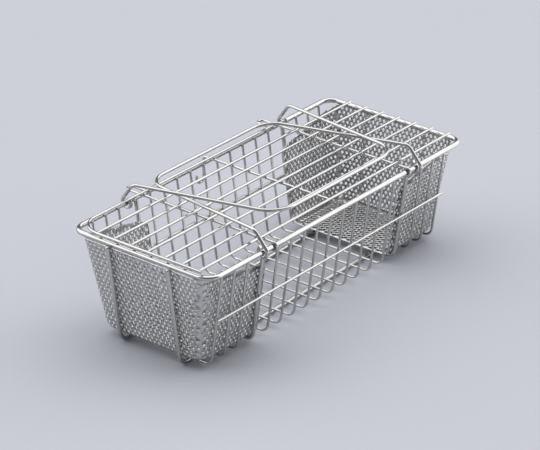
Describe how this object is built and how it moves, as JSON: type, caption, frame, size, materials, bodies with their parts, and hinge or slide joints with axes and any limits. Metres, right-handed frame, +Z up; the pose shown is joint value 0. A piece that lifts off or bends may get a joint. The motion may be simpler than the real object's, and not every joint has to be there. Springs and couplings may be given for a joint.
{
  "type": "autoclave basket",
  "caption": "Long tapered wire basket with perforated sheet liners at both ends, a hinged wire lid with a hook, and two folding wire handles.",
  "frame": {"origin": "on the table, below the middle of the rim", "axes": "+X along the basket, -Y towards the lid's hinge side, +Z up"},
  "size_m": [0.3728, 0.1784, 0.1279],
  "materials": {
    "bright_wire": "electropolished stainless wire, bright",
    "perforated_steel": "satin perforated stainless sheet"
  },
  "bodies": {
    "basket": {"rim": "bright_wire", "rib_01": "bright_wire", "rib_02": "bright_wire", "rib_03": "bright_wire", "rib_04": "bright_wire", "rib_05": "bright_wire", "rib_06": "bright_wire", "rib_07": "bright_wire", "rib_08": "bright_wire", "rib_09": "bright_wire", "rib_10": "bright_wire", "rib_11": "bright_wire", "rib_12": "bright_wire", "rib_13": "bright_wire", "rib_14": "bright_wire", "rib_15": "bright_wire", "rib_16": "bright_wire", "rib_17": "bright_wire", "rib_18": "bright_wire", "runner_near": "bright_wire", "runner_far": "bright_wire", "side_wire_near": "bright_wire", "side_wire_far": "bright_wire", "liner_left": "perforated_steel", "liner_right": "perforated_steel", "lid_frame": "bright_wire", "lid_rod_1": "bright_wire", "lid_rod_2": "bright_wire", "lid_rod_3": "bright_wire", "lid_rod_4": "bright_wire", "lid_rod_5": "bright_wire", "lid_rod_6": "bright_wire", "lid_rod_7": "bright_wire", "lid_cross_left": "bright_wire", "lid_cross_middle": "bright_wire", "lid_cross_right": "bright_wire"},
    "handle_near": {"handle_near": "bright_wire"},
    "handle_far": {"handle_far": "bright_wire"}
  },
  "joints": [
    {"name": "far_handle_swing", "type": "hinge", "parent": "basket", "child": "handle_far", "pos_m": [0, 0.0785, 0.101], "axis": [-1, 0, 0], "range_deg": [0, 205]},
    {"name": "near_handle_swing", "type": "hinge", "parent": "basket", "child": "handle_near", "pos_m": [0, -0.0785, 0.101], "axis": [1, 0, 0], "range_deg": [0, 205]}
  ],
  "couplings": [
    {"joint": "near_handle_swing", "follows": "far_handle_swing", "ratio": 0.85}
  ]
}
